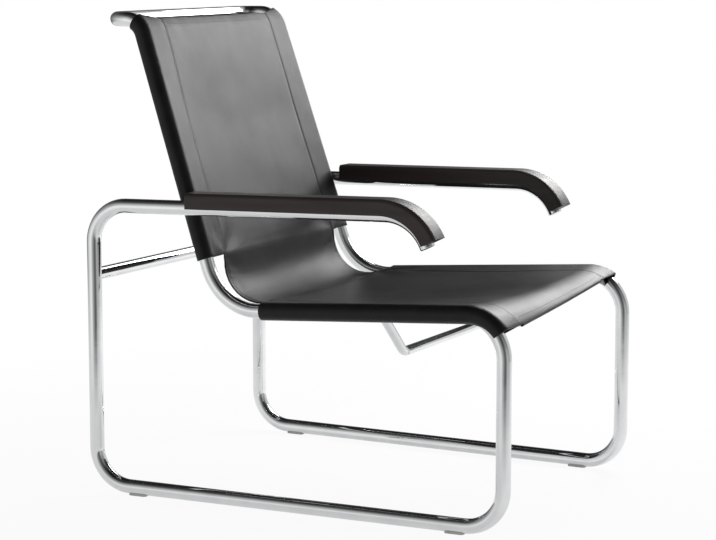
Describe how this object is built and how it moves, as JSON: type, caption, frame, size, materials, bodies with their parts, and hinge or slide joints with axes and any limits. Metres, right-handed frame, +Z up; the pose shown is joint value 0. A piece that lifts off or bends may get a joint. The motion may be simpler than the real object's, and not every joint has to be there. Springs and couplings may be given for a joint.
{
  "type": "cantilever lounge chair",
  "caption": "Cantilever lounge chair of bent chromed steel tube with a stretched leather seat and back sling and curved dark wood arm rests; it stands on straight floor runners.",
  "frame": {"origin": "on the floor, centre of the chair's footprint", "axes": "+Z up; the sitter faces -Y; +X is the sitter's left"},
  "size_m": [0.6158, 0.793, 0.8385],
  "materials": {
    "chromed_tube": "polished chrome plate",
    "arm_wood": "black stained and lacquered",
    "sling_leather": "smooth black core leather with a soft sheen",
    "joint_steel": "turned steel",
    "screw_steel": "zinc plated",
    "glide_plastic": "moulded, matt",
    "end_cap_metal": "polished"
  },
  "bodies": {
    "root": {"side_frame_right": "chromed_tube", "armrest_right": "arm_wood", "armrest_screws_right": "screw_steel", "arm_end_cap_right": "end_cap_metal", "rail_plug_right": "joint_steel", "rail_joint_screws_right": "screw_steel", "floor_glide_front_right": "glide_plastic", "floor_glide_rear_right": "glide_plastic", "side_frame_left": "chromed_tube", "armrest_left": "arm_wood", "armrest_screws_left": "screw_steel", "arm_end_cap_left": "end_cap_metal", "rail_plug_left": "joint_steel", "rail_joint_screws_left": "screw_steel", "floor_glide_front_left": "glide_plastic", "floor_glide_rear_left": "glide_plastic", "seat_back_frame": "chromed_tube", "rear_crossbar": "chromed_tube", "under_seat_brace": "chromed_tube", "leather_sling": "sling_leather"}
  },
  "joints": []
}
